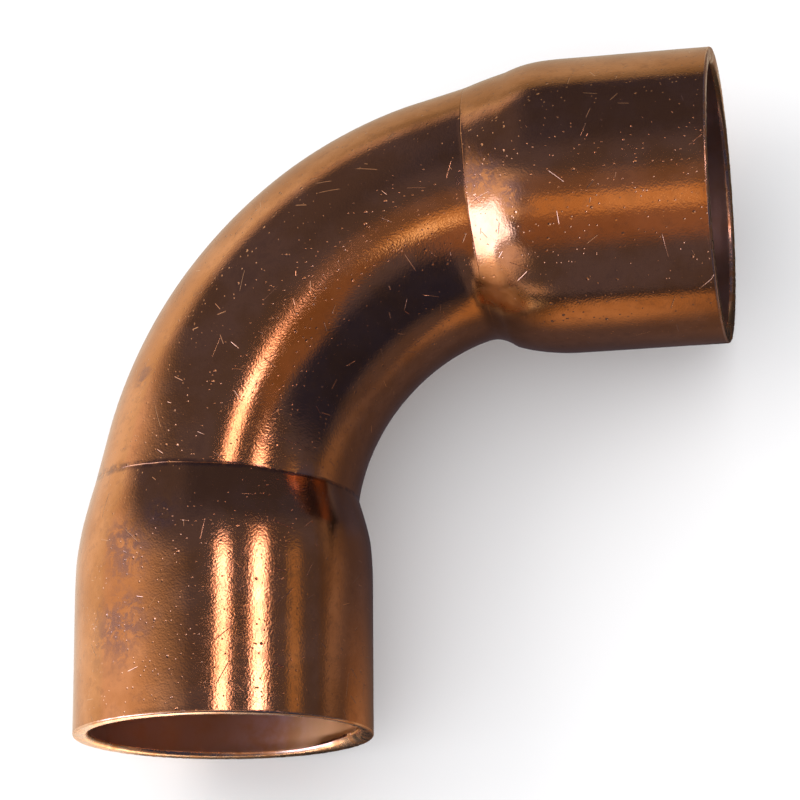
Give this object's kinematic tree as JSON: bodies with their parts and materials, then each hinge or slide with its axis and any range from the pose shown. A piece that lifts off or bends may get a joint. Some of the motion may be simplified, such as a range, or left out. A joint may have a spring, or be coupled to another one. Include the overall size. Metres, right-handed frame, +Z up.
{
  "type": "pipe elbow",
  "caption": "Long-radius 90 degree copper pipe elbow: a bent tube with a solder socket formed on each end.",
  "frame": {"origin": "on the surface that the elbow lies on, under the middle of its box", "axes": "+Z up, square with the plane of the bend; +X out of the upper socket; -Y out of the lower socket"},
  "size_m": [0.0372, 0.038, 0.0168],
  "materials": {
    "copper": null
  },
  "bodies": {
    "root": {"lower_socket": "copper", "bend": "copper", "upper_socket": "copper"}
  },
  "joints": []
}
